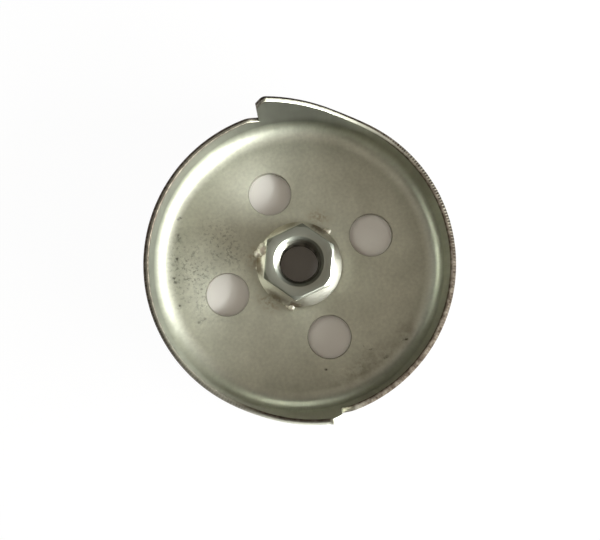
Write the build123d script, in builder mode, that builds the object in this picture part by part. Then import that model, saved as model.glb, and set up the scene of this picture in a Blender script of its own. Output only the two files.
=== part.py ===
from build123d import *
from math import atan2, cos, radians, sin, tan
import os

# Starter cup of a small garden engine: a pressed steel cup with two ratchet teeth on its rim
# and a threaded nut welded to its floor. Sizes are in millimetres.
# Z is the turning axis and the cup opens upwards. The origin is the centre of the underside.
# The driving face of the first tooth lies on the YZ plane, at +Y.

# Pressed cup
cup_diameter = 69.0
sheet = 1.2
bend_radius = 3.0  # inside the bend from floor to wall
rim_height = 9.0  # plain rim above the inside of the floor

# Ratchet teeth, drawn flat as seen along the radius through the driving face
tooth_count = 2
tooth_rise = 10.8  # where the ramp would meet the driving face, above the plain rim
tooth_length = 19.4  # driving face to the foot of the ramp
ramp_foot_radius = 15.0
tip_cut_length = 1.8  # corner taken off the tip, along the ramp
tip_cut_drop = 2.8  # and down the driving face
tip_radius = 0.9
gullet_depth = 1.8  # dip in the rim at the root of the driving face
gullet_length = 2.6
gullet_root_radius = 0.5
gullet_shoulder_radius = 2.5

# Round holes in the floor
hole_count = 4
hole_diameter = 10.0
hole_circle_diameter = 36.5
hole_turn = 7.0  # degrees from the X axis to the first hole

# Weld nut with a metric fine thread
thread_diameter = 10.0
thread_pitch = 1.25
minor_share = 1.0825  # pitches from the nominal to the minor diameter of a metric thread
across_flats = 15.0
nut_height = 8.0  # top of the nut above the inside of the floor
nut_sides = 6
nut_turn = 39.5  # degrees from the X axis to the first flat
crown_diameter = 15.9  # round that the top chamfer leaves on the hexagon
crown_slope = 30.0
collar_diameter = 20.0
collar_edge = 0.8
collar_slope = 30.0
mouth_diameter = 11.3  # countersink at the top of the thread
mouth_angle = 90.0
back_chamfer = 0.7  # at the lower end of the thread
pilot_diameter = 12.5
pilot_length = 0.9
pilot_clearance = 0.1

# Beads of weld metal at the edge of the collar, each with its angle in degrees
small_bead_radius = 0.8
middle_bead_radius = 1.0
large_bead_radius = 1.75
bead_proud = 1.2  # how far a bead stands out past the collar
bead_lift_share = 1 / 3  # height of a bead's centre above the floor, as a share of its radius
beads = ((33.6, small_bead_radius), (146.1, large_bead_radius), (243.6, middle_bead_radius))

overlap = 1.0  # how far a cutter or an added tooth reaches past the face that it works on

cup_radius = cup_diameter / 2
inner_radius = cup_radius - sheet
floor_z = sheet
rim_z = floor_z + rim_height
nut_top_z = floor_z + nut_height
collar_radius = collar_diameter / 2
pilot_radius = pilot_diameter / 2
bore_radius = (thread_diameter - minor_share * thread_pitch) / 2

# One tooth: its side view is cut through a ring of the wall
ramp_angle = atan2(tooth_rise, tooth_length)
ramp_foot_reach = ramp_foot_radius * tan(ramp_angle / 2) + overlap
ramp_z_at_tip = rim_z + tooth_rise - tip_cut_length * tan(ramp_angle)
tooth_base_z = rim_z - gullet_depth - overlap
with BuildPart() as tooth:
    with BuildSketch(Plane.back) as side_view:
        with BuildLine():
            Polyline(
                (0, tooth_base_z),
                (0, ramp_z_at_tip - tip_cut_drop),
                (-tip_cut_length, ramp_z_at_tip),
                (-tooth_length, rim_z),
                (-tooth_length - ramp_foot_reach, rim_z),
                (-tooth_length - ramp_foot_reach, tooth_base_z),
                close=True,
            )
        make_face()
        ramp_foot = side_view.vertices().group_by(Axis.X)[1]
        fillet(ramp_foot, ramp_foot_radius)
        tip_corners = side_view.vertices().sort_by(Axis.Y)[-2:]
        fillet(tip_corners, tip_radius)
    extrude(amount=cup_radius + overlap)
    with BuildSketch(Plane.XY.offset(tooth_base_z)):
        Circle(cup_radius)
        Circle(inner_radius, mode=Mode.SUBTRACT)
    extrude(amount=ramp_z_at_tip - tooth_base_z + overlap, mode=Mode.INTERSECT)

# The dip at the root of a tooth
gullet_angle = atan2(gullet_depth, gullet_length)
gullet_reach = gullet_shoulder_radius * tan(gullet_angle / 2) + overlap
with BuildPart() as gullet:
    with BuildSketch(Plane.back) as dip:
        with BuildLine():
            Polyline(
                (0, rim_z + overlap),
                (0, rim_z - gullet_depth),
                (gullet_length, rim_z),
                (gullet_length + gullet_reach, rim_z),
                (gullet_length + gullet_reach, rim_z + overlap),
                close=True,
            )
        make_face()
        shoulder = dip.vertices().group_by(Axis.X)[1]
        fillet(shoulder, gullet_shoulder_radius)
        root = dip.vertices().sort_by(Axis.Y)[0]
        fillet(root, gullet_root_radius)
    extrude(amount=cup_radius + overlap)

# Pressed cup: a spun section, the teeth and dips on its rim, and the pierced floor
with BuildPart() as cup_shell:
    with BuildSketch(Plane.XZ) as section:
        with BuildLine():
            Polyline(
                (0, 0),
                (cup_radius, 0),
                (cup_radius, rim_z),
                (inner_radius, rim_z),
                (inner_radius, floor_z),
                (0, floor_z),
                close=True,
            )
        make_face()
        outer_bend = section.vertices().group_by(Axis.X)[-1].sort_by(Axis.Y)[0]
        fillet(outer_bend, bend_radius + sheet)
        inner_bend = section.vertices().group_by(Axis.X)[-2].sort_by(Axis.Y)[0]
        fillet(inner_bend, bend_radius)
    revolve(axis=Axis.Z)
    with PolarLocations(0, tooth_count):
        add(tooth.part)
        add(gullet.part, mode=Mode.SUBTRACT)
    with Locations((0, 0, floor_z)):
        Hole(pilot_radius + pilot_clearance, depth=sheet)
        with PolarLocations(hole_circle_diameter / 2, hole_count, start_angle=hole_turn):
            Hole(hole_diameter / 2, depth=sheet)

# Weld nut: a hexagon with a chamfered crown on a conical collar and a pilot
half_side = 180 / nut_sides
corner_radius = across_flats / 2 / cos(radians(half_side)) + overlap
crown_radius = crown_diameter / 2
crown_drop = (corner_radius - crown_radius) * tan(radians(crown_slope))
collar_rise = (collar_radius - bore_radius) * tan(radians(collar_slope))
with BuildPart() as weld_nut:
    with BuildSketch(Plane.XY.offset(floor_z)):
        RegularPolygon(across_flats / 2, nut_sides, major_radius=False, rotation=nut_turn - half_side)
    extrude(amount=nut_height)
    with BuildSketch(Plane.XZ):
        with BuildLine():
            Polyline(
                (0, floor_z),
                (corner_radius, floor_z),
                (corner_radius, nut_top_z - crown_drop),
                (crown_radius, nut_top_z),
                (0, nut_top_z),
                close=True,
            )
        make_face()
    revolve(axis=Axis.Z, mode=Mode.INTERSECT)
    with BuildSketch(Plane.XZ):
        with BuildLine():
            Polyline(
                (0, floor_z - pilot_length),
                (pilot_radius, floor_z - pilot_length),
                (pilot_radius, floor_z),
                (collar_radius, floor_z),
                (collar_radius, floor_z + collar_edge),
                (bore_radius, floor_z + collar_edge + collar_rise),
                (0, floor_z + collar_edge + collar_rise),
                close=True,
            )
        make_face()
    revolve(axis=Axis.Z)
    with Locations((0, 0, nut_top_z)):
        CounterSinkHole(bore_radius, mouth_diameter / 2, counter_sink_angle=mouth_angle)
    thread_back = weld_nut.edges().filter_by(GeomType.CIRCLE).group_by(Axis.Z)[0].sort_by(SortBy.RADIUS)[0]
    chamfer(thread_back, back_chamfer)

# Weld beads: drops of metal that sit on the floor and wet the edge of the collar
with BuildPart() as weld_beads:
    for angle, radius in beads:
        reach = collar_radius + bead_proud - radius
        bead_z = floor_z + bead_lift_share * radius
        with Locations((reach * cos(radians(angle)), reach * sin(radians(angle)), bead_z)):
            Sphere(radius)
    split(bisect_by=Plane.XY.offset(floor_z), keep=Keep.TOP)
    add(weld_nut.part, mode=Mode.SUBTRACT)

os.makedirs("parts", exist_ok=True)
cup_shell.part.label = "cup_shell"
export_step(cup_shell.part, "parts/cup_shell.step")
weld_nut.part.label = "weld_nut"
export_step(weld_nut.part, "parts/weld_nut.step")
weld_beads.part.label = "weld_beads"
export_step(weld_beads.part, "parts/weld_beads.step")
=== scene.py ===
# %% [markdown]
# # A starter cup and its looks
# The part is a shallow cup pressed from steel sheet and zinc plated. Two ratchet teeth stand on its rim,
# and a threaded nut is welded to its floor. The starter of a small garden engine turns it by the teeth.
# The CAD solids fix the main sizes. Here the same pieces are modelled again as finer meshes, with the sheared
# edge, the thread and the lumps of weld that the solids leave plain, and then get their finishes.

from collections import namedtuple
from math import atan2, cos, pi, radians, sin, sqrt, tan

import bmesh
import bpy
from mathutils import Matrix, Vector, noise


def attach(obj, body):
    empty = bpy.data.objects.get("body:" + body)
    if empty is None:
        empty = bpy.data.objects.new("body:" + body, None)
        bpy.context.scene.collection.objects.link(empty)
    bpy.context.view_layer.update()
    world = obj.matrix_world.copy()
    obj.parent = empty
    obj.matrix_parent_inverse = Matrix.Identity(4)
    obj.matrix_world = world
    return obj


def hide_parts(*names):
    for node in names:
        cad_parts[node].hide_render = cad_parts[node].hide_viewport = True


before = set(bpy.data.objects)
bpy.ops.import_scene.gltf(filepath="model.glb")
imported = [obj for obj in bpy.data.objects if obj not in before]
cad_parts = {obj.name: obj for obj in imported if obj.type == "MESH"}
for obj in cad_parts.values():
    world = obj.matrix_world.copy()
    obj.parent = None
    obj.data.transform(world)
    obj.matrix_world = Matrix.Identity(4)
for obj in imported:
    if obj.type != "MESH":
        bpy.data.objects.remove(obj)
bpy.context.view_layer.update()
MM = 0.001
print("CAD nodes:", sorted(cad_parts))

# %% [markdown]
# ## Camera
# The picture is taken by hand from nearly straight above, some 14 cm over the floor of the cup and a little
# to one side of its axis. The floor shows whole, and the inside of the wall shows as a ring of uneven width.
# A tracking constraint can't roll the picture, so the camera's three axes are worked out here instead.

# %% Camera
PICTURE_TURN = radians(15.66)
picture_up = Vector((sin(PICTURE_TURN), cos(PICTURE_TURN), 0))
eye = Vector((-2.0, -13.5, 142.2)) * MM
target = Vector((-0.2, -1.22, 1.2)) * MM
back = (eye - target).normalized()
side = picture_up.cross(back).normalized()
axes = Matrix((side, back.cross(side), back)).transposed().to_4x4()
bpy.ops.object.camera_add()
camera = bpy.context.object
camera.matrix_world = Matrix.Translation(eye) @ axes
camera.data.lens = 36.2
camera.data.sensor_width = 36.0
camera.data.clip_start = 0.01
bpy.context.scene.camera = camera
print("camera at mm:", [round(v / MM, 1) for v in eye])

# %% [markdown]
# ## Pressed cup: floor
# A press draws the cup from flat sheet and pierces the floor with four round holes and one for the nut.
# A disc with Boolean holes would leave long thin faces round each hole. Rings of edges that are filled
# together give a clean flat face with its holes already in it.

# %% Helpers for modelling by hand
def edit(piece):
    """Opens one piece, and nothing else, in edit mode."""
    bpy.ops.object.select_all(action="DESELECT")
    piece.select_set(True)
    bpy.context.view_layer.objects.active = piece
    bpy.ops.object.mode_set(mode="EDIT")


def pick_open_edges(piece, wanted):
    """Selects the open edges whose middle is a wanted place, given in mm."""
    mesh = bmesh.from_edit_mesh(piece.data)
    bpy.ops.mesh.select_all(action="DESELECT")
    for edge in mesh.edges:
        middle = (edge.verts[0].co + edge.verts[1].co) / 2 / MM
        if edge.is_boundary and wanted(middle):
            edge.select_set(True)
    bmesh.update_edit_mesh(piece.data)


def pull_ring(piece, place, centres=((0.0, 0.0),), cut=lambda turn: 0.0, drawn=0.0):
    """Extrudes the picked rings. place(turn) gives each new point its radius and height in mm, cut(turn)
    says how dark the cut metal is painted there, from dirt on the rim and painted shade on the hole walls,
    and drawn how far it is along the drawn wall, which sets its shine and how much painted shade it takes."""
    bpy.ops.mesh.extrude_region_move()
    mesh = bmesh.from_edit_mesh(piece.data)
    layers = mesh.verts.layers.float
    cut_edge = layers.get("cut_edge") or layers.new("cut_edge")
    drawn_wall = layers.get("drawn_wall") or layers.new("drawn_wall")
    for point in mesh.verts:
        if point.select:
            x, y = point.co.x / MM, point.co.y / MM
            cx, cy = min(centres, key=lambda c: (x - c[0]) ** 2 + (y - c[1]) ** 2)
            turn = atan2(y - cy, x - cx)
            radius, height = place(turn)
            point.co = Vector((cx + radius * cos(turn), cy + radius * sin(turn), height)) * MM
            point[cut_edge] = cut(turn)
            point[drawn_wall] = drawn
    bmesh.update_edit_mesh(piece.data)


def round_row(radius, height):
    """A row that is the same all the way round."""
    return lambda turn: (radius, height)


def triangles(piece):
    """How many triangles a finished piece has."""
    return sum(len(face.vertices) - 2 for face in piece.data.polygons)


# %% Floor of the cup
CUP_RADIUS = 34.5
SHEET = 1.2
INNER_RADIUS = CUP_RADIUS - SHEET
BEND_RADIUS = 4.2  # wider than the 3.0 of the solids, as the photo shows it
COLUMNS = 1800
HOLE_COLUMNS = 72
NUT_HOLE_COLUMNS = 96
FLOOR_RADIUS = INNER_RADIUS - BEND_RADIUS
HOLE_RADIUS = 5.0
HOLE_CIRCLE = 18.25
HOLE_TURNS = [radians(7 + 90 * n) for n in range(4)]
HOLES = [(HOLE_CIRCLE * cos(t), HOLE_CIRCLE * sin(t)) for t in HOLE_TURNS]
NUT_HOLE_RADIUS = 6.35
ROLLED_EDGE = 0.22

bpy.ops.object.select_all(action="DESELECT")
bpy.ops.mesh.primitive_circle_add(vertices=COLUMNS, radius=FLOOR_RADIUS * MM, location=(0, 0, SHEET * MM))
cup = bpy.context.object
cup.name = "pressed_cup"
bpy.ops.object.transform_apply(location=True, rotation=True, scale=True)
edit(cup)
for x, y in HOLES:
    bpy.ops.mesh.primitive_circle_add(
        vertices=HOLE_COLUMNS, radius=(HOLE_RADIUS + ROLLED_EDGE) * MM, location=(x * MM, y * MM, SHEET * MM)
    )
bpy.ops.mesh.primitive_circle_add(
    vertices=NUT_HOLE_COLUMNS, radius=(NUT_HOLE_RADIUS + ROLLED_EDGE) * MM, location=(0, 0, SHEET * MM)
)
bpy.ops.mesh.select_all(action="SELECT")
bpy.ops.mesh.fill(use_beauty=True)
print("floor faces:", len(bmesh.from_edit_mesh(cup.data).faces))

# %% [markdown]
# ## Pressed cup: bend and wall
# Past the flat floor the sheet bends up into the wall. The outer ring of the floor is pulled outwards and
# upwards row by row, as a potter pulls a wall. A section spun round the axis would give the same bend, but a
# level rim. The rows of the wall follow the height of the rim above them, so the teeth need no cutting later.

# %% Height of the rim
RIM_Z = 10.2
TOOTH_RISE = 10.8
TOOTH_LENGTH = 19.4
TIP_CUT_LENGTH = 1.8
TIP_CUT_DROP = 2.8
GULLET_DEPTH = 1.8
GULLET_LENGTH = 2.6
FOOT_EASE = 2.0
TIP_EASE = 1.6
SHOULDER_EASE = 0.5
FACE_EDGE = -0.01  # a point on the driving face itself belongs to the tooth
TIP_Z = RIM_Z + TOOTH_RISE * (1 - TIP_CUT_LENGTH / TOOTH_LENGTH)


def eased_max(a, b, ease):
    """The larger of two heights, with the corner where they cross rounded."""
    near = max(ease - abs(a - b), 0.0) / ease
    return max(a, b) + near * near * ease / 4


def rim_height(x, y):
    """Height of the rim at a point of the wall, from the side view of the tooth on that half of the cup."""
    into_tooth = x if y > 0 else -x
    if into_tooth > FACE_EDGE:
        ramp = RIM_Z + TOOTH_RISE * (1 - into_tooth / TOOTH_LENGTH)
        tip_cut = TIP_Z - TIP_CUT_DROP * (1 - into_tooth / TIP_CUT_LENGTH)
        return eased_max(RIM_Z, -eased_max(-ramp, -tip_cut, TIP_EASE), FOOT_EASE)
    dip = RIM_Z - GULLET_DEPTH * (1 + into_tooth / GULLET_LENGTH)
    return -eased_max(-RIM_Z, -dip, SHOULDER_EASE)


print("tooth tip at mm:", round(max(rim_height(0.01 * n, 30) for n in range(400)), 2))

# %% Pull the bend and the inside of the wall
BEND_ROWS = 14
WALL_SHARES = (0.2, 0.4, 0.6, 0.8)
EDGE_ZONE = 0.95


def bend_row(wall, base, share):
    """A row of the bend: share runs from 0 at the floor to 1 at the wall."""
    angle = share * pi / 2
    return lambda turn: (wall - BEND_RADIUS * (1 - sin(angle)), base + BEND_RADIUS * (1 - cos(angle)))


def wall_row(wall, base, share):
    """A row of the wall: share runs from 0 at the bend to 1 just under the rim."""

    def place(turn):
        foot = base + BEND_RADIUS
        top = rim_height(wall * cos(turn), wall * sin(turn)) - EDGE_ZONE
        return wall, foot + share * (top - foot)

    return place


pick_open_edges(cup, lambda p: p.xy.length > FLOOR_RADIUS - 1)
for row in range(1, BEND_ROWS + 1):
    pull_ring(cup, bend_row(INNER_RADIUS, SHEET, row / BEND_ROWS), drawn=row / BEND_ROWS)
for share in (*WALL_SHARES, 1.0):
    pull_ring(cup, wall_row(INNER_RADIUS, SHEET, share), drawn=1.0)
print("points up to the rim:", len(bmesh.from_edit_mesh(cup.data).verts))

# %% [markdown]
# ## Pressed cup: sheared rim
# The rim was cut by a die. Its inner edge was rubbed round in the barrel, and outside that the metal broke
# away, in ridges on one side and rolled over on another. Old oil stays in the break. A Bevel modifier would
# make the rim the same all round. So a short table says what each stretch of it is like, and the rows of
# the end face follow the table.

# %% What each stretch of the rim is like
Stretch = namedtuple("Stretch", "turn bevel roll ridges inside outside start")
RIM_STRETCHES = (
    # turn in degrees, bevel, roll, ridges, dirt inside, dirt outside, mm from the inside to the outer dirt
    (0, 0.2, 0.1, 1.0, 0.95, 1.15, 0.50),
    (22, 0.2, 0.1, 1.0, 0.90, 1.15, 0.50),
    (34, 0.3, 0.2, 0.6, 0.60, 1.10, 0.50),
    (46, 0.5, 0.4, 0.1, 0.15, 1.10, 0.55),
    (60, 0.6, 0.4, 0.0, 0.15, 1.90, 0.65),
    (86, 0.6, 0.4, 0.0, 0.10, 1.90, 0.65),
    (88, 0.3, 0.4, 0.0, 0.50, 1.20, 0.40),
    (91, 0.3, 1.0, 0.1, 0.40, 1.05, 0.40),
    (104, 0.2, 1.0, 0.1, 0.55, 1.05, 0.45),
    (119, 0.2, 1.0, 0.1, 0.55, 1.05, 0.45),
    (134, 0.3, 1.0, 0.1, 0.60, 1.05, 0.45),
    (164, 0.3, 1.0, 0.1, 0.60, 1.05, 0.45),
    (194, 0.4, 1.0, 0.2, 0.45, 0.85, 0.40),
    (206, 0.5, 0.9, 0.3, 0.35, 0.55, 0.30),
    (232, 0.5, 0.9, 0.3, 0.35, 0.55, 0.30),
    (244, 0.5, 1.4, 0.0, 0.70, 0.00, 0.50),
    (265, 0.5, 1.4, 0.0, 0.70, 0.00, 0.50),
    (266, 0.4, 0.2, 0.0, 0.00, 0.00, 0.10),
    (269, 0.4, 0.2, 0.0, 0.00, 0.00, 0.10),
    (271, 0.3, 0.3, 0.1, 0.50, 0.50, 0.40),
    (280, 0.3, 0.1, 0.1, 0.90, 0.95, 0.50),
    (300, 0.3, 0.1, 0.2, 0.95, 1.05, 0.50),
    (344, 0.2, 0.1, 0.4, 0.95, 1.10, 0.50),
    (360, 0.2, 0.1, 1.0, 0.95, 1.15, 0.50),
)
RIDGES = 320
RIDGE_WANDER = 2.0  # how far noise shifts a ridge along the rim, in radians of its own wave
RIDGE_WANDERS_PER_MM = 0.4


def stretch(turn):
    """What the rim is like at a turn, blended from the two rows of the table beside it."""
    degrees = (turn * 180 / pi) % 360
    for before, after in zip(RIM_STRETCHES, RIM_STRETCHES[1:]):
        if degrees <= after[0]:
            share = (degrees - before[0]) / (after[0] - before[0])
            return Stretch(*[a + share * (b - a) for a, b in zip(before, after)])


def nearness(turn, middle, half):
    """1 at the middle of an arc, falling smoothly to 0 at its ends."""
    away = abs((turn - middle + pi) % (2 * pi) - pi) / half
    return max(1 - away * away, 0.0)


def rim_noise(turn, per_mm, shift=(0, 0, 0), height=0.0):
    """Smooth noise along the rim."""
    spot = Vector((CUP_RADIUS * cos(turn), CUP_RADIUS * sin(turn), height))
    return noise.noise(spot * per_mm + Vector(shift))


def ridge_gap(turn):
    """0 on the crest of a ridge of the break, 1 in the gap between two ridges."""
    return 0.5 + 0.5 * sin(RIDGES * turn + RIDGE_WANDER * rim_noise(turn, RIDGE_WANDERS_PER_MM))


print("rim stretches:", len(RIM_STRETCHES) - 1)

# %% Rows of the sheared end face
BEVEL = 0.26
BEVEL_DIRT = 1.6  # the rubbed edge holds more dirt than the flat beside it
RIDGE_DEPTH = 0.07
NICK_DEPTH = 0.08
NICKS_PER_MM = 1.1
NICK_CHANGE = 3  # how fast the nicks change from row to row
BURR_MIDDLE = radians(214)
BURR_HALF = radians(20)
FLAKES_PER_MM = 0.9
FLAKE_SHIFT = (9, 0, 0)
FLAKE_GAP = 0.05
FLAKE_REACH = 0.35
FLAKE_LIFT = 0.1
FLAKE_GROWTH = 3  # a flake is whole a third of the way across the bevel
DIRT_EDGE = 0.2  # mm over which the inner dirt turns into the outer dirt
CREST_RUB = 0.6
# share of the bevel's width, share of its depth
BEVEL_ROWS = ((0.0, 1.6), (0.08, 0.95), (0.5, 0.45), (0.9, 0.08), (1.15, 0.0))
# radius, depth where the roll is 1, share of the ridges
BREAK_ROWS = (
    (33.76, 0.00, 0.0),
    (33.90, 0.04, 0.3),
    (34.05, 0.11, 0.8),
    (34.20, 0.22, 1.0),
    (34.32, 0.34, 1.0),
    (34.42, 0.46, 1.0),
    (34.49, 0.57, 0.5),
)


def bevel_row(width, depth):
    """A row of the rubbed inner edge, with the flakes of the burr."""

    def place(turn):
        size = BEVEL * stretch(turn).bevel
        flake = max(rim_noise(turn, FLAKES_PER_MM, FLAKE_SHIFT) - FLAKE_GAP, 0.0)
        flake *= nearness(turn, BURR_MIDDLE, BURR_HALF) * min(width * FLAKE_GROWTH, 1.0)
        radius = INNER_RADIUS + width * size
        height = rim_height(radius * cos(turn), radius * sin(turn)) - depth * size
        return radius - FLAKE_REACH * flake, height + FLAKE_LIFT * flake

    return place


def break_row(radius, depth, ridged):
    """A row of the broken part of the end face."""

    def place(turn):
        here = stretch(turn)
        nick = NICK_DEPTH * max(rim_noise(turn, NICKS_PER_MM, height=radius * NICK_CHANGE), 0.0) * here.roll
        rough = ridged * (RIDGE_DEPTH * here.ridges * ridge_gap(turn) + nick)
        return radius, rim_height(radius * cos(turn), radius * sin(turn)) - depth * here.roll - rough

    return place


def bevel_dirt(turn):
    """How dirty the rubbed inner edge is. Past 1 the dirt would be black oil, which stays in the break."""
    return min(BEVEL_DIRT * stretch(turn).inside, 1.0)


def break_dirt(radius):
    """How dirty a row of the break is. Ridges are rubbed clean on their crests."""

    def dirt(turn):
        here = stretch(turn)
        share = min(max((radius - INNER_RADIUS - here.start) / DIRT_EDGE, 0.0), 1.0)
        crest = share * here.ridges * (1 - 2 * ridge_gap(turn))
        return (here.inside + share * (here.outside - here.inside)) * (1 - CREST_RUB * crest)

    return dirt


print("rows of the end face:", len(BEVEL_ROWS) + len(BREAK_ROWS))

# %% Pull the sheared end face and the outside
OUTSIDE_DRAWN = 0.55  # the outside takes less of the painted wall shade than the inside
for width, depth in BEVEL_ROWS:
    slid = 1.0 if width == 0 else 0.0
    pull_ring(cup, bevel_row(width, depth), cut=bevel_dirt, drawn=slid)
for radius, depth, ridged in BREAK_ROWS:
    pull_ring(cup, break_row(radius, depth, ridged), cut=break_dirt(radius))
for share in (1.0, *reversed(WALL_SHARES), 0.0):
    pull_ring(cup, wall_row(CUP_RADIUS, 0.0, share), drawn=OUTSIDE_DRAWN)
for row in reversed(range(BEND_ROWS)):
    pull_ring(cup, bend_row(CUP_RADIUS, 0.0, row / BEND_ROWS), drawn=OUTSIDE_DRAWN * row / BEND_ROWS)
print("points with both sides of the wall:", len(bmesh.from_edit_mesh(cup.data).verts))

# %% Pull the holes through and fill the underside
# The walls of the pierced holes take the dark cut metal colour, a painted shade that draws their dark
# outline.
PIERCED_WALL_SHADE = 0.6
# mm wider than the hole, height
HOLE_ROWS = ((0.06, SHEET - 0.06), (0.0, SHEET - ROLLED_EDGE), (0.0, 0.12), (0.10, 0.0))
pick_open_edges(cup, lambda p: p.z > 0.5 * SHEET and p.xy.length > 1.5 * NUT_HOLE_RADIUS)
for wider, height in HOLE_ROWS:
    pull_ring(cup, round_row(HOLE_RADIUS + wider, height), centres=HOLES, cut=lambda turn: PIERCED_WALL_SHADE)
pick_open_edges(cup, lambda p: p.z > 0.5 * SHEET)
for wider, height in HOLE_ROWS:
    pull_ring(cup, round_row(NUT_HOLE_RADIUS + wider, height))
pick_open_edges(cup, lambda p: True)
bpy.ops.mesh.fill(use_beauty=True)
bpy.ops.mesh.select_all(action="SELECT")
bpy.ops.mesh.normals_make_consistent(inside=False)
bpy.ops.object.mode_set(mode="OBJECT")
bpy.ops.object.shade_smooth_by_angle(angle=radians(35))
print("cup triangles:", triangles(cup))

# %% [markdown]
# ## Weld nut
# The nut is forged as a hexagon on a conical collar, and its top is chamfered by a lathe, so the chamfer cuts
# the six corners in arcs. Boolean cuts would draw those arcs, but leave them without an edge break. Rings of
# points are pulled instead: each point knows how far out the hexagon is at its turn, and the arcs follow.

# %% Rings of the weld nut
NUT_COLUMNS = 240
FLOOR_Z = SHEET
NUT_TOP = FLOOR_Z + 8.0
APOTHEM = 7.5
FLAT_TURN = radians(39.5)
CROWN_RADIUS = 7.75  # smaller than the 7.95 of the solids, as the photo shows it
SLOPE = tan(radians(30))
COLLAR_RADIUS = 10.0
COLLAR_Z = FLOOR_Z + 0.8
PILOT_RADIUS = 6.25
PILOT_Z = FLOOR_Z - 0.9
MOUTH_RADIUS = 5.65
BORE_RADIUS = 4.3234
BACK_CHAMFER = 0.7
EDGE_BREAK = 0.15
COLLAR_BREAK = 0.1
CROWN_BREAK = 0.28
CROWN_STEP = 0.05
MOUTH_BREAK = 0.06
# mm out and up from the line where the cone of the collar meets the flats
FOOT_ROWS = ((0.15, 0.0), (0.03, 0.05), (0.0, 0.2))


def hexagon(turn):
    """How far the hexagon reaches out at a turn, in mm."""
    return APOTHEM / cos((turn - FLAT_TURN + pi / 6) % (pi / 3) - pi / 6)


def collar_row(out, up):
    """A row where the cone of the collar meets the flats, a little out and up from the line itself."""

    def place(turn):
        radius = hexagon(turn) + out
        return radius, COLLAR_Z + (COLLAR_RADIUS - radius) * SLOPE + up

    return place


def crown_row(turn):
    """The lower edge of the lathe's chamfer on the flats and corners."""
    radius = hexagon(turn)
    return radius, NUT_TOP - max(CROWN_BREAK, (radius - CROWN_RADIUS) * SLOPE + CROWN_STEP)


NUT_ROWS = (
    round_row(PILOT_RADIUS - EDGE_BREAK, PILOT_Z),
    round_row(PILOT_RADIUS, PILOT_Z + EDGE_BREAK),
    round_row(PILOT_RADIUS, FLOOR_Z),
    round_row(COLLAR_RADIUS - EDGE_BREAK, FLOOR_Z),
    round_row(COLLAR_RADIUS, FLOOR_Z + EDGE_BREAK),
    round_row(COLLAR_RADIUS, COLLAR_Z - 0.8 * COLLAR_BREAK),
    round_row(COLLAR_RADIUS - COLLAR_BREAK, COLLAR_Z + 0.5 * COLLAR_BREAK),
    *[collar_row(out, up) for out, up in FOOT_ROWS],
    crown_row,
    lambda turn: (min(CROWN_RADIUS, hexagon(turn) - CROWN_BREAK), NUT_TOP),
    round_row(MOUTH_RADIUS + MOUTH_BREAK, NUT_TOP),
)
bpy.ops.object.select_all(action="DESELECT")
bpy.ops.mesh.primitive_circle_add(
    vertices=NUT_COLUMNS, radius=(BORE_RADIUS + BACK_CHAMFER) * MM, location=(0, 0, PILOT_Z * MM),
    rotation=(0, 0, FLAT_TURN),
)
nut = bpy.context.object
nut.name = "weld_nut_threaded"
bpy.ops.object.transform_apply(location=True, rotation=True, scale=True)
edit(nut)
bpy.ops.mesh.select_all(action="SELECT")
for place in NUT_ROWS:
    pull_ring(nut, place)
print("nut rows outside:", len(NUT_ROWS))

# %% [markdown]
# ## Thread
# The bore carries a metric fine thread. The Screw modifier sweeps a thread well, but its open ends would have
# to be cut to the countersink. Here the bore is pulled as rows a tenth of a pitch apart, and each point moves
# out to the groove where a groove passes it. The thread then runs out into the countersink by itself.

# %% Rows of the thread
PITCH = 1.25
ROWS_PER_PITCH = 10
MAJOR_RADIUS = 5.0
ROOT_HALF = PITCH / 16
FLANK = sqrt(3)
THREAD_END = 0.1  # mm at the lower end without rows


def bore(height):
    """Radius of the plain bore with its countersink and back chamfer."""
    mouth = MOUTH_RADIUS - (NUT_TOP - height)
    lower = BORE_RADIUS + BACK_CHAMFER - (height - PILOT_Z)
    return max(BORE_RADIUS, mouth, lower)


def groove(turn, height):
    """Radius of the thread's groove at a turn and height."""
    phase = (height / PITCH - turn / (2 * pi)) % 1.0
    away = abs(phase - 0.5) * PITCH
    return MAJOR_RADIUS - max(away - ROOT_HALF, 0.0) * FLANK


def thread_row(height):
    """A row of the bore with the grooves that pass it."""
    return lambda turn: (max(bore(height), groove(turn, height)), height)


step = PITCH / ROWS_PER_PITCH
thread_rows = int((NUT_TOP - PILOT_Z - THREAD_END) / step)
for row in range(thread_rows):
    pull_ring(nut, thread_row(NUT_TOP - MOUTH_BREAK - row * step))
pick_open_edges(nut, lambda p: True)
bpy.ops.mesh.bridge_edge_loops()
bpy.ops.mesh.select_all(action="SELECT")
bpy.ops.mesh.normals_make_consistent(inside=False)
bpy.ops.object.mode_set(mode="OBJECT")
bpy.ops.object.shade_smooth_by_angle(angle=radians(30))
print("thread rows:", thread_rows, "nut triangles:", triangles(nut))

# %% [markdown]
# ## Weld beads
# Three drops of weld metal hold the collar: a large uneven one, and two small balls. Balls alone would look
# like peas, so overlapping balls are fused by a voxel remesh, smoothed, roughened by a displacement,
# and cut flat where they sit on the floor.

# %% Lumps of weld
# turn in degrees, distance from the axis, height of the middle above the floor, radius
LUMPS = (
    (143.6, 9.2, 0.75, 1.40),
    (138.6, 9.5, 0.5, 1.05),
    (149.6, 9.9, 0.45, 1.10),
    (168.6, 9.8, 0.1, 0.50),
    (244.1, 10.2, 0.35, 0.80),
    (238.6, 9.9, 0.1, 0.65),
    (33.6, 10.4, 0.35, 0.62),
    (37.6, 10.2, 0.1, 0.50),
)
VOXEL = 0.09
SKIN_SIZE = 0.9
SKIN_DEPTH = 0.22


def apply_modifier(piece, kind, **settings):
    """Adds one modifier with its settings and applies it."""
    made = piece.modifiers.new(kind.title(), kind)
    for name, value in settings.items():
        setattr(made, name, value)
    bpy.context.view_layer.objects.active = piece
    bpy.ops.object.modifier_apply(modifier=made.name)


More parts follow.
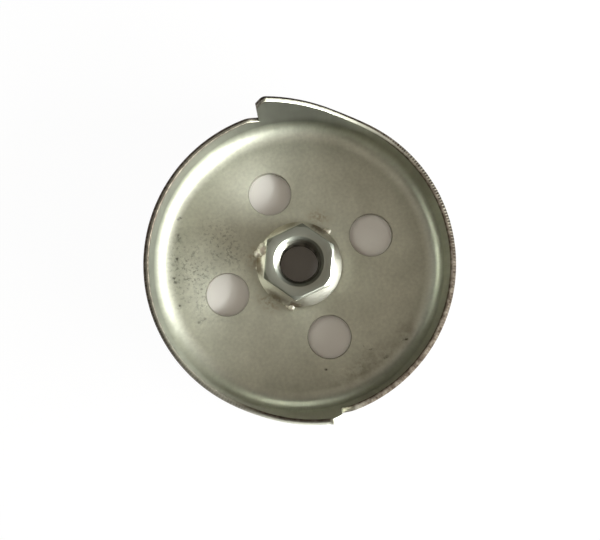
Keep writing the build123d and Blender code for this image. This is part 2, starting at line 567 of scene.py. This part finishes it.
weld = None
for turn, reach, lift, radius in LUMPS:
    spot = Vector((reach * cos(radians(turn)), reach * sin(radians(turn)), FLOOR_Z + lift)) * MM
    bpy.ops.object.mode_set(mode="OBJECT")
    if weld is None:
        bpy.ops.object.select_all(action="DESELECT")
        bpy.ops.mesh.primitive_ico_sphere_add(subdivisions=4, radius=radius * MM, location=spot)
        weld = bpy.context.object
        weld.name = "weld_lumps"
        bpy.ops.object.transform_apply(location=True, rotation=True, scale=True)
    else:
        edit(weld)
        bpy.ops.mesh.primitive_ico_sphere_add(subdivisions=4, radius=radius * MM, location=spot)
bpy.ops.object.mode_set(mode="OBJECT")
skin = bpy.data.textures.new("weld_skin", "CLOUDS")
skin.noise_scale = SKIN_SIZE * MM
apply_modifier(weld, "REMESH", mode="VOXEL", voxel_size=VOXEL * MM)
apply_modifier(weld, "SMOOTH", factor=0.5, iterations=12)
apply_modifier(
    weld, "DISPLACE", texture=skin, texture_coords="LOCAL", strength=SKIN_DEPTH * MM, mid_level=0.5
)
edit(weld)
bpy.ops.mesh.select_all(action="SELECT")
bpy.ops.mesh.bisect(plane_co=(0, 0, FLOOR_Z * MM), plane_no=(0, 0, 1), use_fill=True, clear_inner=True)
bpy.ops.mesh.select_all(action="SELECT")
bpy.ops.mesh.normals_make_consistent(inside=False)
bpy.ops.object.mode_set(mode="OBJECT")
bpy.ops.object.shade_smooth_by_angle(angle=radians(60))
print("weld triangles:", triangles(weld))

# %% [markdown]
# ## Finish: zinc plated sheet
# Barrel plating leaves pressed steel a pale metal with a thin yellow-green film. The floor keeps the dull
# grain of the sheet and reflects broadly. The wall was burnished between punch and die, so it is smoother,
# mirrors the floor beside it and shows fine lines along the draw. Painted shade darkens the wall, most on the
# side that faces the window, and painted shade darkens the bend on the other side. A picture of real metal
# would carry its own light, so noise at the sizes of the clouds and the mottling draws them instead.

# %% Helpers for finishes
SPOT_END = 1.2  # a mark fades out a little past its own size


def colour(text):
    """An sRGB hex value as linear red, green, blue and alpha."""
    parts = [int(text[n:n + 2], 16) / 255 for n in (1, 3, 5)]
    return (*[p / 12.92 if p <= 0.04045 else ((p + 0.055) / 1.055) ** 2.4 for p in parts], 1.0)


def add(tree, kind, inputs=None, **settings):
    """Adds a node with its settings; an input is a value or the output that feeds it."""
    made = tree.nodes.new(kind)
    for name, value in settings.items():
        setattr(made, name, value)
    for socket, value in (inputs or {}).items():
        if isinstance(value, bpy.types.NodeSocket):
            tree.links.new(value, made.inputs[socket])
        else:
            made.inputs[socket].default_value = value
    return made


def new_finish(name):
    """A new material with an empty tree, and its object coordinates in mm."""
    made = bpy.data.materials.new(name)
    made.use_nodes = True
    made.node_tree.nodes.clear()
    tree = made.node_tree
    metres = add(tree, "ShaderNodeTexCoord").outputs["Object"]
    scaled = add(tree, "ShaderNodeVectorMath", {0: metres, "Scale": 1 / MM}, operation="SCALE")
    return made, tree, scaled.outputs[0]


def marks(tree, place, spots, height, edge=0.5):
    """1 on each spot and 0 away from it. A spot has x, y, half length, half width and turn in degrees."""
    covered = None
    for x, y, long, wide, turn in spots:
        near = add(tree, "ShaderNodeMapping", {
            "Vector": place,
            "Location": (x, y, height),
            "Rotation": (0, 0, radians(turn)),
            "Scale": (long, wide, 1.0),
        }, vector_type="TEXTURE")
        away = add(tree, "ShaderNodeVectorMath", {0: near.outputs[0]}, operation="LENGTH")
        spot = add(tree, "ShaderNodeMapRange", {
            "Value": away.outputs["Value"],
            "From Min": edge,
            "From Max": SPOT_END,
            "To Min": 1.0,
            "To Max": 0.0,
        }, interpolation_type="SMOOTHSTEP").outputs[0]
        if covered is not None:
            spot = add(tree, "ShaderNodeMath", {0: covered, 1: spot}, operation="MAXIMUM").outputs[0]
        covered = spot
    return covered


# %% Stains and scratches of the floor
# x, y, half length and half width in mm, turn in degrees
CORRODED = (
    (-24.5, 4.0, 14.0, 7.5, 105),
    (-16.0, 9.0, 9.0, 6.0, 110),
)
BROWNED = (
    (9.0, -26.5, 11.0, 3.6, 18),
    (19.5, -22.5, 5.0, 3.0, 48),
)
DARK_SPOTS = (
    (-24.3, 18.3, 0.9, 0.5, 40),
    (-25.6, 13.8, 1.1, 0.6, 70),
    (-27.5, 8.9, 1.2, 0.7, 80),
    (-29.1, 4.3, 1.1, 0.6, 95),
    (-29.6, -1.9, 0.9, 0.7, 90),
    (-25.4, -6.3, 1.2, 0.8, 20),
    (-0.6, -25.1, 0.6, 0.4, 0),
    (18.9, -23.4, 0.8, 0.6, 0),
    (13.5, -26.0, 0.8, 0.5, 30),
)
PALE_SCRATCHES = (
    (-25.2, -3.8, 1.3, 0.16, 12),
    (-23.4, -3.1, 0.9, 0.14, 42),
)
DARK_SCRATCHES = (
    (9.2, -22.3, 0.6, 0.20, -50),
    (10.7, -23.4, 1.4, 0.22, -20),
)
HEAT_TINTS = (
    (-9.6, 4.6, 3.6, 2.4, 60),
    (-9.4, -6.6, 4.2, 2.6, -45),
    (7.4, 9.8, 3.6, 2.2, -30),
)
print("stains:", len(CORRODED + BROWNED + HEAT_TINTS), "spots:", len(DARK_SPOTS))
print("scratches:", len(PALE_SCRATCHES + DARK_SCRATCHES))

# %% Zinc plated sheet: tone
# A soft broad shine, pale grey with a yellow-green cast, clouded, mottled and spotted.
# Sizes are in mm.
CLOUD_SIZE = 7.0
GRAIN_SIZE = 0.8
DRAW_SQUEEZE = 0.08
# Turn and reach of the painted shade on the wall, and reach and depth of the painted shade in the bend.
SHADE_SIDE_TURN = radians(126)
WALL_SHADE_REACH = 24.0
CORNER_SHADE_REACH = 20.0
CORNER_SHADE_DEPTH = 0.42
sheet_zinc, tree, place = new_finish("zinc_plated_sheet")
cloud = add(tree, "ShaderNodeTexNoise", {"Vector": place, "Scale": 1 / CLOUD_SIZE, "Detail": 4.0})
cloud = cloud.outputs["Fac"]
tone = add(tree, "ShaderNodeMix", {0: cloud, 6: colour("#BEC0B2"), 7: colour("#E2E3D5")}, data_type="RGBA")

# Squeezed along Z, the same grain is mottling on the floor and lines of the draw on the wall.
drawn = add(tree, "ShaderNodeVectorMath", {0: place, 1: (1.0, 1.0, DRAW_SQUEEZE)},
            operation="MULTIPLY").outputs[0]
grain = add(tree, "ShaderNodeTexNoise", {"Vector": drawn, "Scale": 1 / GRAIN_SIZE, "Detail": 3.0})
grain = grain.outputs["Fac"]
mottle = add(tree, "ShaderNodeMapRange", {
    "Value": grain, "From Min": 0.3, "From Max": 0.7, "To Min": 0.92, "To Max": 1.06,
}).outputs[0]

# Painted shade darkens the wall a little all round, and most on the side that faces the window.
wall = add(tree, "ShaderNodeAttribute", attribute_name="drawn_wall").outputs["Fac"]
shade_side = add(tree, "ShaderNodeVectorMath", {0: place, 1: (cos(SHADE_SIDE_TURN), sin(SHADE_SIDE_TURN), 0.0)},
                operation="DOT_PRODUCT").outputs["Value"]
side_painted_shade = add(tree, "ShaderNodeMapRange", {
    "Value": shade_side, "From Min": 0.0, "From Max": WALL_SHADE_REACH, "To Min": 0.70, "To Max": 0.20,
}, interpolation_type="SMOOTHSTEP").outputs[0]
wall_painted_shade = add(tree, "ShaderNodeMapRange", {
    "Value": wall, "From Min": 0.4, "From Max": 1.0, "To Min": 1.0, "To Max": side_painted_shade,
}).outputs[0]

# Painted shade darkens the middle of the bend on the other side, dimming the reflection seen there.
corner = add(tree, "ShaderNodeMapRange", {"Value": wall, "From Min": 0.05, "From Max": 0.45},
             interpolation_type="SMOOTHSTEP").outputs[0]
corner_end = add(tree, "ShaderNodeMapRange", {"Value": wall, "From Min": 0.95, "From Max": 0.75},
                 interpolation_type="SMOOTHSTEP").outputs[0]
corner = add(tree, "ShaderNodeMath", {0: corner, 1: corner_end}, operation="MULTIPLY").outputs[0]
corner_painted_shade = add(tree, "ShaderNodeMapRange", {
    "Value": shade_side, "From Min": -CORNER_SHADE_REACH, "From Max": 0.0, "To Min": -CORNER_SHADE_DEPTH, "To Max": 0.0,
}).outputs[0]
corner_shade_factor = add(tree, "ShaderNodeMath", {0: corner, 1: corner_painted_shade, 2: 1.0},
                  operation="MULTIPLY_ADD").outputs[0]
wall_painted_shade = add(tree, "ShaderNodeMath", {0: wall_painted_shade, 1: corner_shade_factor}, operation="MULTIPLY").outputs[0]
mottle = add(tree, "ShaderNodeMath", {0: mottle, 1: wall_painted_shade}, operation="MULTIPLY").outputs[0]
shade = add(tree, "ShaderNodeVectorMath", {0: tone.outputs[2], "Scale": mottle}, operation="SCALE").outputs[0]
print("sheet tone nodes:", len(tree.nodes))

# %% Zinc plated sheet: stains
# Marks get uneven outlines from coordinates that wander by half a millimetre, and a patchy strength.
WANDER_SIZE = 1.4
WANDER_REACH = 1.6
BLOT_SIZE = 0.7
SMUDGE_SIZE = 2.2
wander = add(tree, "ShaderNodeTexNoise", {"Vector": place, "Scale": 1 / WANDER_SIZE, "Detail": 3.0})
wander = wander.outputs["Color"]
wander = add(tree, "ShaderNodeVectorMath", {0: wander, 1: (0.5, 0.5, 0.5)}, operation="SUBTRACT").outputs[0]
uneven = add(tree, "ShaderNodeVectorMath", {0: wander, 1: (WANDER_REACH, WANDER_REACH, 0.0), 2: place},
             operation="MULTIPLY_ADD").outputs[0]
blots = add(tree, "ShaderNodeTexNoise", {
    "Vector": place, "Scale": 1 / BLOT_SIZE, "Detail": 6.0, "Roughness": 0.65,
})
blots = add(tree, "ShaderNodeMapRange", {"Value": blots.outputs["Fac"], "From Min": 0.52, "From Max": 0.62},
            interpolation_type="SMOOTHSTEP").outputs[0]
smudges = add(tree, "ShaderNodeTexNoise", {"Vector": place, "Scale": 1 / SMUDGE_SIZE, "Detail": 5.0})
smudges = add(tree, "ShaderNodeMapRange", {
    "Value": smudges.outputs["Fac"], "From Min": 0.40, "From Max": 0.66,
}).outputs[0]
specks = add(tree, "ShaderNodeMapRange", {"Value": grain, "From Min": 0.40, "From Max": 0.62}).outputs[0]
for spots, where, breaks, tint, most in (
    (CORRODED, uneven, smudges, "#62675A", 0.10),
    (CORRODED, uneven, blots, "#62675A", 0.50),
    (BROWNED, uneven, smudges, "#6F5D47", 0.42),
    (BROWNED, uneven, blots, "#6F5D47", 0.20),
    (HEAT_TINTS, uneven, specks, "#94805F", 0.55),
    (DARK_SPOTS, uneven, specks, "#3A382E", 0.95),
    (DARK_SCRATCHES, uneven, specks, "#3F382D", 0.60),
    (PALE_SCRATCHES, place, specks, "#FFFFF2", 0.80),
):
    covered = marks(tree, where, spots, SHEET, edge=0.1)
    covered = add(tree, "ShaderNodeMath", {0: covered, 1: breaks}, operation="MULTIPLY").outputs[0]
    covered = add(tree, "ShaderNodeMath", {0: covered, 1: most}, operation="MULTIPLY").outputs[0]
    shade = add(tree, "ShaderNodeMix", {0: covered, 6: shade, 7: colour(tint)}, data_type="RGBA").outputs[2]
print("sheet nodes with stains:", len(tree.nodes))

# %% Zinc plated sheet: bare metal and shine
# Sheared metal is bare, brown with old oil in the hollows and grey where it is rubbed. On the hole walls the
# same colours are a painted shade.
BARE_SIZE = 0.9
GRAIN_DEPTH = 0.012
FLOOR_ROUGHNESS = 0.59
BURNISH_REACH = 24.0
cut = add(tree, "ShaderNodeAttribute", attribute_name="cut_edge").outputs["Fac"]
bare = add(tree, "ShaderNodeTexNoise", {"Vector": place, "Scale": 1 / BARE_SIZE, "Detail": 4.0})
bare = add(tree, "ShaderNodeMapRange", {
    "Value": bare.outputs["Fac"], "From Min": 0.38, "From Max": 0.66,
}).outputs[0]
bare = add(tree, "ShaderNodeMix", {0: bare, 6: colour("#463A31"), 7: colour("#7A7166")}, data_type="RGBA")
shade = add(tree, "ShaderNodeMix", {0: cut, 6: shade, 7: bare.outputs[2]}, data_type="RGBA").outputs[2]
oily = add(tree, "ShaderNodeMath", {0: cut, 1: 1.0}, operation="SUBTRACT", use_clamp=True).outputs[0]
shade = add(tree, "ShaderNodeMix", {0: oily, 6: shade, 7: colour("#1A1613")}, data_type="RGBA").outputs[2]

# The bend is the smoothest place, and the wall above it is a little duller. The floor shows its grain most.
burnished = add(tree, "ShaderNodeMapRange", {
    "Value": shade_side, "From Min": -BURNISH_REACH, "From Max": BURNISH_REACH, "To Min": 0.40, "To Max": 0.42,
}).outputs[0]
smooth = add(tree, "ShaderNodeMapRange", {
    "Value": wall, "From Min": 0.0, "From Max": 0.45, "To Min": FLOOR_ROUGHNESS, "To Max": burnished,
}).outputs[0]
dull = add(tree, "ShaderNodeMapRange", {
    "Value": wall, "From Min": 0.6, "From Max": 1.0, "To Min": 0.0, "To Max": 0.08,
}).outputs[0]
smooth = add(tree, "ShaderNodeMath", {0: smooth, 1: dull}, operation="ADD").outputs[0]
smooth = add(tree, "ShaderNodeMath", {0: grain, 1: 0.08, 2: smooth}, operation="MULTIPLY_ADD").outputs[0]
dented = add(tree, "ShaderNodeMath", {0: wall, 1: -0.42, 2: 0.5}, operation="MULTIPLY_ADD").outputs[0]
dent = add(tree, "ShaderNodeBump", {
    "Strength": dented, "Distance": GRAIN_DEPTH * MM, "Height": grain,
}).outputs[0]
surface = add(tree, "ShaderNodeBsdfPrincipled", {
    "Base Color": shade, "Metallic": 1.0, "Roughness": smooth, "Normal": dent,
})
add(tree, "ShaderNodeOutputMaterial", {"Surface": surface.outputs[0]})
cup.data.materials.append(sheet_zinc)
print("sheet finish nodes:", len(tree.nodes))

# %% [markdown]
# ## Finish: zinc plated nut
# The nut was turned on its top and cold forged on its flats before plating. Turning leaves fine rings that
# catch the light in arcs. The collar is painted near white, a painted highlight for its bright cone, and is
# brown and dull where the weld burnt the plating off. The rings could be cut into the mesh, but they are so
# shallow that a bump shows them as well.

# %% Zinc plated nut: tone and burns
# Greyer and smoother than the floor, with turned rings on top and a near-white collar, a painted highlight,
# with burnt patches.
# Sizes are in mm.
NUT_CLOUD_SIZE = 2.5
BURN_WANDER_SIZE = 1.0
BURN_WANDER_REACH = 2.0
COLLAR_HIGHLIGHT_FROM = NUT_TOP - 3.0  # from here down the flats turn into the collar's painted highlight
COLLAR_HIGHLIGHT_FULL = NUT_TOP - 3.6
TINTED = (
    (-1.8, 9.0, 5.0, 2.0, 12),
    (-8.4, 4.4, 2.4, 1.2, 60),
)
BURNT = (
    (-8.9, 1.6, 3.0, 1.5, 98),
    (-6.6, -5.6, 3.4, 1.9, -45),
    (-3.6, -8.9, 1.8, 1.1, -20),
    (6.4, 6.9, 2.4, 1.0, -45),
)
nut_zinc, tree, place = new_finish("zinc_plated_nut")
cloud = add(tree, "ShaderNodeTexNoise", {"Vector": place, "Scale": 1 / NUT_CLOUD_SIZE, "Detail": 4.0})
cloud = cloud.outputs["Fac"]
tone = add(tree, "ShaderNodeMix", {0: cloud, 6: colour("#94978D"), 7: colour("#A8ABA1")}, data_type="RGBA")
wander = add(tree, "ShaderNodeTexNoise", {"Vector": place, "Scale": 1 / BURN_WANDER_SIZE, "Detail": 4.0})
wander = wander.outputs["Color"]
wander = add(tree, "ShaderNodeVectorMath", {0: wander, 1: (0.5, 0.5, 0.5)}, operation="SUBTRACT").outputs[0]
uneven = add(tree, "ShaderNodeVectorMath", {
    0: wander, 1: (BURN_WANDER_REACH, BURN_WANDER_REACH, 0.0), 2: place,
}, operation="MULTIPLY_ADD").outputs[0]
up = add(tree, "ShaderNodeSeparateXYZ", {0: place}).outputs["Z"]
# The collar and the foot of the flats are painted near white, a painted highlight.
collar = add(tree, "ShaderNodeMapRange", {
    "Value": up, "From Min": COLLAR_HIGHLIGHT_FULL, "From Max": COLLAR_HIGHLIGHT_FROM, "To Min": 0.9, "To Max": 0.0,
}).outputs[0]
shade = add(tree, "ShaderNodeMix", {0: collar, 6: tone.outputs[2], 7: colour("#F6F4E8")}, data_type="RGBA")
shade = shade.outputs[2]
tinted = marks(tree, uneven, TINTED, COLLAR_Z)
tinted = add(tree, "ShaderNodeMath", {0: tinted, 1: 0.7}, operation="MULTIPLY").outputs[0]
shade = add(tree, "ShaderNodeMix", {0: tinted, 6: shade, 7: colour("#8F8168")}, data_type="RGBA").outputs[2]
burnt = marks(tree, uneven, BURNT, COLLAR_Z)
burnt = add(tree, "ShaderNodeMath", {0: burnt, 1: 0.75}, operation="MULTIPLY").outputs[0]
shade = add(tree, "ShaderNodeMix", {0: burnt, 6: shade, 7: colour("#6A5840")}, data_type="RGBA").outputs[2]
print("nut tone nodes:", len(tree.nodes))

# %% Zinc plated nut: painted shade in the bore and turned rings
RING_PITCH = 0.45  # real turning marks are finer and wouldn't show, so they are drawn coarser
RING_DEPTH = 0.006
WAVE_PERIOD = pi / 10  # of the wave texture at scale 1
BORE_SHADE_FULL = MAJOR_RADIUS - 0.2
BORE_SHADE_END = MAJOR_RADIUS + 0.1
FLATS_TOP = NUT_TOP - 0.2
across = add(tree, "ShaderNodeVectorMath", {0: place, 1: (1.0, 1.0, 0.0)}, operation="MULTIPLY").outputs[0]
across = add(tree, "ShaderNodeVectorMath", {0: across}, operation="LENGTH").outputs["Value"]
# The thread is painted dark grey, a painted shade for the deep bore.
bore_painted_shade = add(tree, "ShaderNodeMapRange", {
    "Value": across, "From Min": BORE_SHADE_FULL, "From Max": BORE_SHADE_END, "To Min": 0.85, "To Max": 0.0,
}).outputs[0]
shade = add(tree, "ShaderNodeMix", {0: bore_painted_shade, 6: shade, 7: colour("#4E4B43")}, data_type="RGBA").outputs[2]
rings = add(tree, "ShaderNodeTexWave", {
    "Vector": place, "Scale": WAVE_PERIOD / RING_PITCH, "Distortion": 0.6, "Detail": 2.0, "Detail Scale": 1.5,
}, wave_type="RINGS", rings_direction="Z").outputs["Fac"]
turned = add(tree, "ShaderNodeBump", {
    "Strength": 0.6, "Distance": RING_DEPTH * MM, "Height": rings,
}).outputs[0]
smooth = add(tree, "ShaderNodeMapRange", {
    "Value": up, "From Min": COLLAR_HIGHLIGHT_FROM, "From Max": FLATS_TOP, "To Min": 0.37, "To Max": 0.42,
}).outputs[0]
smooth = add(tree, "ShaderNodeMath", {0: burnt, 1: 0.2, 2: smooth}, operation="MULTIPLY_ADD").outputs[0]
surface = add(tree, "ShaderNodeBsdfPrincipled", {
    "Base Color": shade, "Metallic": 1.0, "Roughness": smooth, "Normal": turned,
})
add(tree, "ShaderNodeOutputMaterial", {"Surface": surface.outputs[0]})
nut.data.materials.append(nut_zinc)
print("nut finish nodes:", len(tree.nodes))

# %% [markdown]
# ## Finish: plated weld metal
# The drops of weld froze smooth and were plated with the rest. Their near-white cream is a painted highlight,
# which makes their tops the brightest places of the part though little light reaches them. Scale and flux
# stay brown at their feet and in the creases between the lumps. The drops are taken to carry a thin pale skin
# of oxide, so they are only partly metallic. A painted mask could place the brown crust, but the height above
# the floor places it on every drop alike.

# %% Plated weld metal
# Near-white cream on top, a painted highlight, and dull brown crust near the floor.
CRUST_SIZE = 0.7
SKIN_METAL = 0.6
weld_steel, tree, place = new_finish("plated_weld_metal")
up = add(tree, "ShaderNodeSeparateXYZ", {0: place}).outputs["Z"]
crust = add(tree, "ShaderNodeTexNoise", {"Vector": place, "Scale": 1 / CRUST_SIZE, "Detail": 4.0})
crust = crust.outputs["Fac"]
crust = add(tree, "ShaderNodeMath", {0: crust, 1: 0.7, 2: -0.5}, operation="MULTIPLY_ADD").outputs[0]
crust = add(tree, "ShaderNodeMath", {0: up, 1: crust}, operation="SUBTRACT").outputs[0]
crust = add(tree, "ShaderNodeMapRange", {
    "Value": crust, "From Min": FLOOR_Z - 0.1, "From Max": FLOOR_Z + 0.3, "To Min": 1.0, "To Max": 0.0,
}, interpolation_type="SMOOTHSTEP").outputs[0]
# The cream near white is a painted highlight. The brown at the feet is crust.
shade = add(tree, "ShaderNodeMix", {0: crust, 6: colour("#FFFCF0"), 7: colour("#6B583C")}, data_type="RGBA")
shade = shade.outputs[2]
smooth = add(tree, "ShaderNodeMath", {0: crust, 1: 0.25, 2: 0.30}, operation="MULTIPLY_ADD").outputs[0]
surface = add(tree, "ShaderNodeBsdfPrincipled", {
    "Base Color": shade, "Metallic": SKIN_METAL, "Roughness": smooth,
})
add(tree, "ShaderNodeOutputMaterial", {"Surface": surface.outputs[0]})
weld.data.materials.append(weld_steel)
print("weld finish nodes:", len(tree.nodes))

# %% [markdown]
# ## Floor and light
# The cup lies on white paper in a dim, warm room. A window low on the right gives the long soft shadow of the
# wall across the floor of the cup. The sky above it, its end and a far window add weaker light. A picture
# of a room could light the part, but four panes and one gradient can be read and moved one by one.

# %% Paper floor
# Nearly plain white to the eye and in reflections, and matt in the shade under the cup.
PAPER_SIZE = 6.0  # m
PAPER_DROP = 0.05
WHITE_FROM = 31.0  # under the holes the paper stays in the shade of the cup
WHITENED = 0.97
bpy.ops.object.select_all(action="DESELECT")
bpy.ops.mesh.primitive_plane_add(size=PAPER_SIZE, location=(0, 0, -PAPER_DROP * MM))
paper = bpy.context.object
paper.name = "paper_floor"
white_paper, tree, place = new_finish("white_paper")
path = add(tree, "ShaderNodeLightPath")
seen = add(tree, "ShaderNodeMath", {0: path.outputs["Is Camera Ray"], 1: path.outputs["Is Glossy Ray"]},
           operation="MAXIMUM")
seen = add(tree, "ShaderNodeMath", {0: seen.outputs[0], 1: path.outputs["Is Transmission Ray"]},
           operation="MAXIMUM")
away = add(tree, "ShaderNodeVectorMath", {0: place}, operation="LENGTH")
outside = add(tree, "ShaderNodeMath", {0: away.outputs["Value"], 1: WHITE_FROM}, operation="GREATER_THAN")
whitened = add(tree, "ShaderNodeMath", {0: seen.outputs[0], 1: outside.outputs[0]}, operation="MULTIPLY")
whitened = add(tree, "ShaderNodeMath", {0: whitened.outputs[0], 1: WHITENED}, operation="MULTIPLY")
matt = add(tree, "ShaderNodeBsdfDiffuse", {"Color": colour("#EAE8E5")})
glow = add(tree, "ShaderNodeEmission", {"Color": (1, 1, 1, 1), "Strength": 1.0})
blend = add(tree, "ShaderNodeMixShader", {0: whitened.outputs[0], 1: matt.outputs[0], 2: glow.outputs[0]})
add(tree, "ShaderNodeOutputMaterial", {"Surface": blend.outputs[0]})
paper.data.materials.append(white_paper)
print("paper under the cup at mm:", -PAPER_DROP)

# %% Room
# The ceiling is brighter than the walls of the room, and the camera shades what lies straight under it.
WALLS_LEVEL = 0.09
CEILING_LEVEL = 0.42
CAMERA_SHADE = 0.17
WARM = (1.15, 1.0, 0.83, 1.0)
world = bpy.data.worlds.new("room")
bpy.context.scene.world = world
world.use_nodes = True
tree = world.node_tree
tree.nodes.clear()
toward = add(tree, "ShaderNodeTexCoord").outputs["Generated"]
height = add(tree, "ShaderNodeSeparateXYZ", {0: toward}).outputs["Z"]
ceiling = add(tree, "ShaderNodeMapRange", {
    "Value": height, "From Min": 0.50, "From Max": 0.85, "To Min": WALLS_LEVEL, "To Max": CEILING_LEVEL,
}, interpolation_type="SMOOTHSTEP").outputs[0]
shaded = add(tree, "ShaderNodeMapRange", {
    "Value": height, "From Min": 0.90, "From Max": 0.985, "To Min": 1.0, "To Max": CAMERA_SHADE,
}, interpolation_type="SMOOTHSTEP").outputs[0]
level = add(tree, "ShaderNodeMath", {0: ceiling, 1: shaded}, operation="MULTIPLY").outputs[0]
room = add(tree, "ShaderNodeBackground", {"Color": WARM, "Strength": level})
add(tree, "ShaderNodeOutputWorld", {"Surface": room.outputs[0]})
print("room nodes:", len(tree.nodes))

# %% Window
# name, turn and rise in degrees, width and height in m, watts
PANES = (
    ("window", -35, 10.5, 0.44, 0.105, 23.0),
    ("window_sky", -32, 21, 0.55, 0.07, 1.4),
    ("window_end", -80, 27, 0.20, 0.10, 0.2),
    ("far_window", 150, 46, 0.12, 0.08, 0.14),
)
WINDOW_AWAY = 0.55
DAYLIGHT = (0.97, 1.0, 0.97)
for name, turn, rise, width, tall, watts in PANES:
    turn, rise = radians(turn), radians(rise)
    toward = Vector((cos(turn) * cos(rise), sin(turn) * cos(rise), sin(rise)))
    bpy.ops.object.light_add(type="AREA", location=toward * WINDOW_AWAY)
    pane = bpy.context.object
    pane.name = name
    pane.rotation_euler = toward.to_track_quat("Z", "Y").to_euler()
    pane.data.shape = "RECTANGLE"
    pane.data.size = width
    pane.data.size_y = tall
    pane.data.energy = watts
    pane.data.color = DAYLIGHT
    print(name, "at mm:", [round(v / MM) for v in pane.location])
bpy.context.scene.view_settings.view_transform = "Standard"

# %% [markdown]
# ## Hand over
# Each piece rides on the one body of the part and stands for its CAD node, which is hidden.

# %% Ride and replace
for piece, node, finish in (
    (cup, "cup_shell", "plated_sheet"),
    (nut, "weld_nut", "plated_nut"),
    (weld, "weld_beads", "weld_metal"),
):
    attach(piece, "root")
    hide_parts(node)
